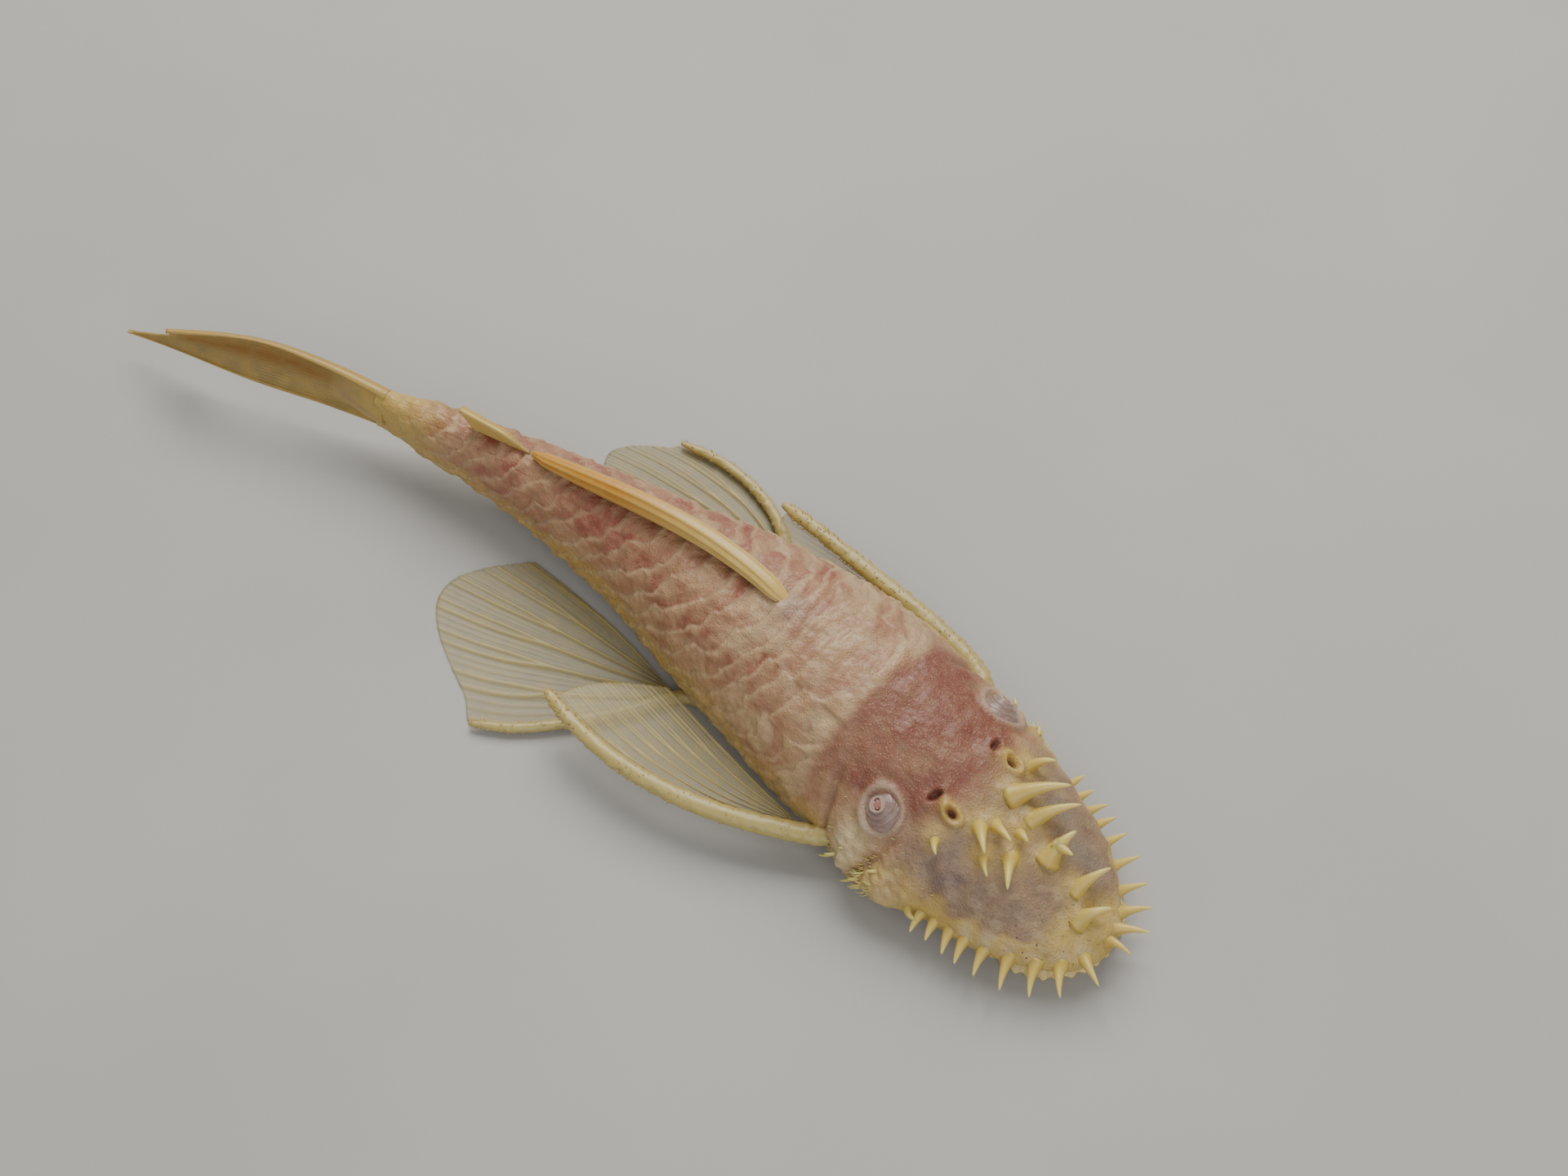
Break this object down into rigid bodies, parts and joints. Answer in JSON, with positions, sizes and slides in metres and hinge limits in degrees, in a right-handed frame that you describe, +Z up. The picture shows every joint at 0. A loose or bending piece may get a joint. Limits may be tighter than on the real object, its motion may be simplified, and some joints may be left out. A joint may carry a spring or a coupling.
{
  "type": "bristlenose pleco",
  "caption": "Life-size adult male bristlenose pleco, an armoured sucker-mouthed catfish with forked snout bristles, resting with its fins spread.",
  "frame": {"origin": "on the flat of the belly at the level the fish rests on, 36 mm behind the tip of the snout on the mid line", "axes": "+X towards the snout, +Y to the fish's left, +Z up from the bottom it rests on"},
  "size_m": [0.1178, 0.0375, 0.0162],
  "materials": {
    "head_skin": "granular, damp satin",
    "mouth_skin": "soft satin",
    "plated_skin": "rough bony plates, satin",
    "fin_dark": "thin, satin",
    "fin_pale": "thin, satin",
    "eye": "glossy"
  },
  "bodies": {
    "root": {"head": "head_skin", "sucker_mouth": "mouth_skin", "trunk": "plated_skin", "tail_stem": "plated_skin", "caudal_fin": "fin_dark", "dorsal_fin": "fin_dark", "adipose_fin": "fin_dark", "anal_fin": "fin_pale", "pectoral_fin_left": "fin_pale", "pectoral_fin_right": "fin_pale", "pelvic_fin_left": "fin_pale", "pelvic_fin_right": "fin_pale", "eye_left": "eye", "eye_right": "eye"}
  },
  "joints": []
}
